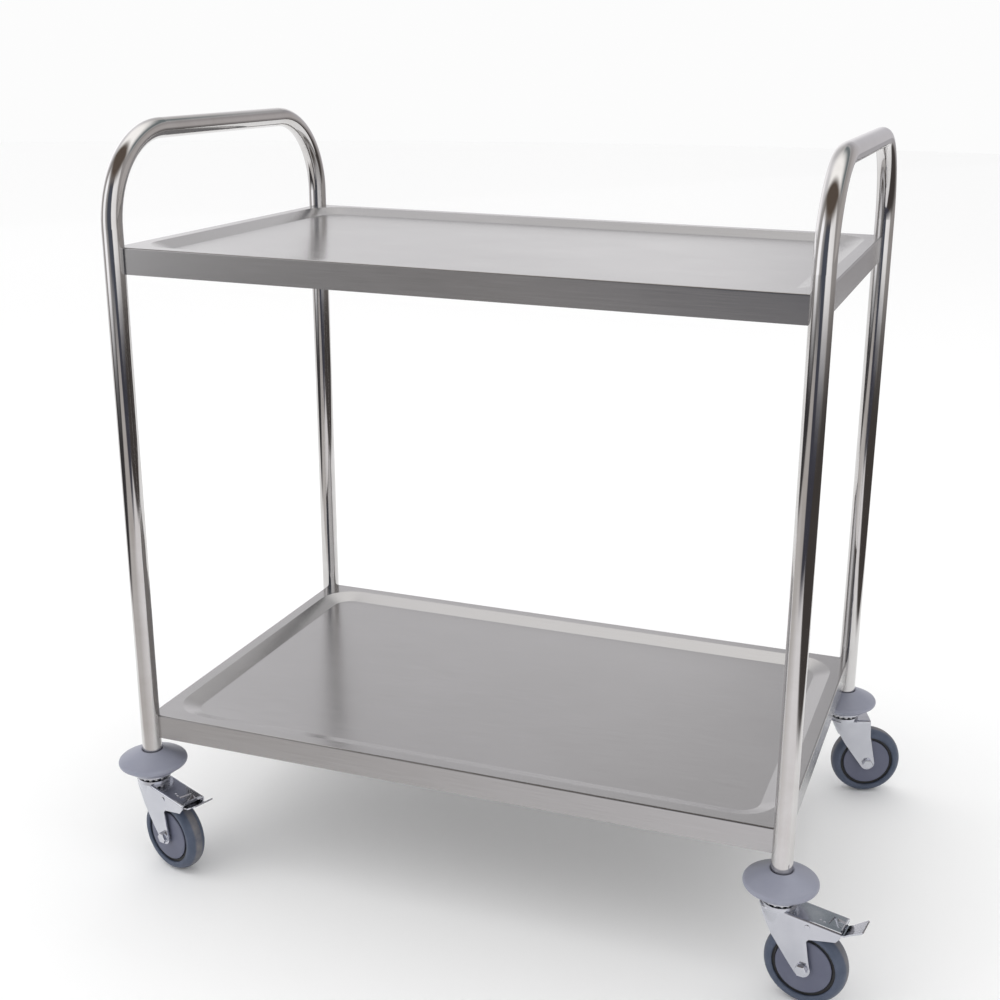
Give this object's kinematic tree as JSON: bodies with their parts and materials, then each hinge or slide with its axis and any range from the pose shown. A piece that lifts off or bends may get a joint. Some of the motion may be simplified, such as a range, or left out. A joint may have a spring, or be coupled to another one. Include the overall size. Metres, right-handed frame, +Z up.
{
  "type": "instrument cart",
  "caption": "Two-tier stainless trolley: pressed tray shelves between bent-tube end frames with push handles, on swivel castors with bumpers and foot brakes.",
  "frame": {"origin": "on the floor under the centre of the whole outline, castors as they stand; the centre between the four legs is 30 mm towards -X from it", "axes": "+X along the shelves, +Y across them towards the side without brakes, +Z up"},
  "size_m": [0.9818, 0.5999, 0.962],
  "materials": {
    "polished_tube": "polished stainless tube",
    "shelf_steel": "brushed stainless sheet, grain along the cart",
    "castor_zinc": "bright zinc plate, slightly blue",
    "zinc_fixings": "bright zinc plated fasteners",
    "bearing_steel": "ground steel",
    "nylon_sleeve": "natural nylon",
    "bumper_plastic": "mid grey moulded plastic",
    "tyre_rubber": "blue-grey non-marking rubber",
    "wheel_core_plastic": "black moulded plastic",
    "wheel_cover_plastic": "grey-violet moulded plastic",
    "brake_rubber": "hard black rubber"
  },
  "bodies": {
    "cart_frame": {"left_end_frame": "polished_tube", "right_end_frame": "polished_tube", "top_shelf": "shelf_steel", "lower_shelf": "shelf_steel", "shelf_brackets": "shelf_steel", "shelf_bolts": "zinc_fixings", "shelf_washers": "zinc_fixings", "frame_rivet_nuts": "zinc_fixings", "stem_sleeves": "nylon_sleeve", "expander_nuts": "zinc_fixings", "kingpins": "zinc_fixings", "swivel_balls": "bearing_steel", "bumper_front_left": "bumper_plastic", "swivel_head_front_left": "castor_zinc", "bumper_front_right": "bumper_plastic", "swivel_head_front_right": "castor_zinc", "bumper_rear_left": "bumper_plastic", "swivel_head_rear_left": "castor_zinc", "bumper_rear_right": "bumper_plastic", "swivel_head_rear_right": "castor_zinc"},
    "swivel_fork_front_left": {"fork_front_left": "castor_zinc", "axle_bolt_front_left": "zinc_fixings", "axle_nut_front_left": "zinc_fixings", "axle_spacer_front_left": "zinc_fixings", "brake_pin_front_left": "zinc_fixings", "brake_spring_front_left": "bearing_steel"},
    "wheel_front_left": {"tyre_front_left": "tyre_rubber", "wheel_core_front_left": "wheel_core_plastic", "wheel_bearings_front_left": "bearing_steel", "wheel_covers_front_left": "wheel_cover_plastic"},
    "pedal_front_left": {"brake_pedal_front_left": "castor_zinc", "brake_shoe_front_left": "brake_rubber"},
    "swivel_fork_front_right": {"fork_front_right": "castor_zinc", "axle_bolt_front_right": "zinc_fixings", "axle_nut_front_right": "zinc_fixings", "axle_spacer_front_right": "zinc_fixings", "brake_pin_front_right": "zinc_fixings", "brake_spring_front_right": "bearing_steel"},
    "wheel_front_right": {"tyre_front_right": "tyre_rubber", "wheel_core_front_right": "wheel_core_plastic", "wheel_bearings_front_right": "bearing_steel", "wheel_covers_front_right": "wheel_cover_plastic"},
    "pedal_front_right": {"brake_pedal_front_right": "castor_zinc", "brake_shoe_front_right": "brake_rubber"},
    "swivel_fork_rear_left": {"fork_rear_left": "castor_zinc", "axle_bolt_rear_left": "zinc_fixings", "axle_nut_rear_left": "zinc_fixings", "axle_spacer_rear_left": "zinc_fixings"},
    "wheel_rear_left": {"tyre_rear_left": "tyre_rubber", "wheel_core_rear_left": "wheel_core_plastic", "wheel_bearings_rear_left": "bearing_steel", "wheel_covers_rear_left": "wheel_cover_plastic"},
    "swivel_fork_rear_right": {"fork_rear_right": "castor_zinc", "axle_bolt_rear_right": "zinc_fixings", "axle_nut_rear_right": "zinc_fixings", "axle_spacer_rear_right": "zinc_fixings"},
    "wheel_rear_right": {"tyre_rear_right": "tyre_rubber", "wheel_core_rear_right": "wheel_core_plastic", "wheel_bearings_rear_right": "bearing_steel", "wheel_covers_rear_right": "wheel_cover_plastic"}
  },
  "joints": [
    {"name": "swivel_front_left", "type": "hinge", "parent": "cart_frame", "child": "swivel_fork_front_left", "pos_m": [-0.4475, -0.255, 0.118], "axis": [0, 0, 1], "continuous": true},
    {"name": "wheel_spin_front_left", "type": "hinge", "parent": "swivel_fork_front_left", "child": "wheel_front_left", "pos_m": [-0.41318, -0.26682, 0.05], "axis": [0.3256, 0.9455, 0], "continuous": true},
    {"name": "brake_front_left", "type": "hinge", "parent": "swivel_fork_front_left", "child": "pedal_front_left", "pos_m": [-0.41025, -0.26783, 0.1064], "axis": [0.3256, 0.9455, 0], "range_deg": [0, 10]},
    {"name": "swivel_front_right", "type": "hinge", "parent": "cart_frame", "child": "swivel_fork_front_right", "pos_m": [0.3875, -0.255, 0.118], "axis": [0, 0, 1], "continuous": true},
    {"name": "wheel_spin_front_right", "type": "hinge", "parent": "swivel_fork_front_right", "child": "wheel_front_right", "pos_m": [0.4234, -0.26037, 0.05], "axis": [0.1478, 0.989, 0], "continuous": true},
    {"name": "brake_front_right", "type": "hinge", "parent": "swivel_fork_front_right", "child": "pedal_front_right", "pos_m": [0.42647, -0.26082, 0.1064], "axis": [0.1478, 0.989, 0], "range_deg": [0, 10]},
    {"name": "swivel_rear_left", "type": "hinge", "parent": "cart_frame", "child": "swivel_fork_rear_left", "pos_m": [-0.4475, 0.255, 0.118], "axis": [0, 0, 1], "continuous": true},
    {"name": "wheel_spin_rear_left", "type": "hinge", "parent": "swivel_fork_rear_left", "child": "wheel_rear_left", "pos_m": [-0.41199, 0.26255, 0.05], "axis": [-0.2079, 0.9781, 0], "continuous": true},
    {"name": "swivel_rear_right", "type": "hinge", "parent": "cart_frame", "child": "swivel_fork_rear_right", "pos_m": [0.3875, 0.255, 0.118], "axis": [0, 0, 1], "continuous": true},
    {"name": "wheel_spin_rear_right", "type": "hinge", "parent": "swivel_fork_rear_right", "child": "wheel_rear_right", "pos_m": [0.42172, 0.26712, 0.05], "axis": [-0.3338, 0.9426, 0], "continuous": true}
  ]
}
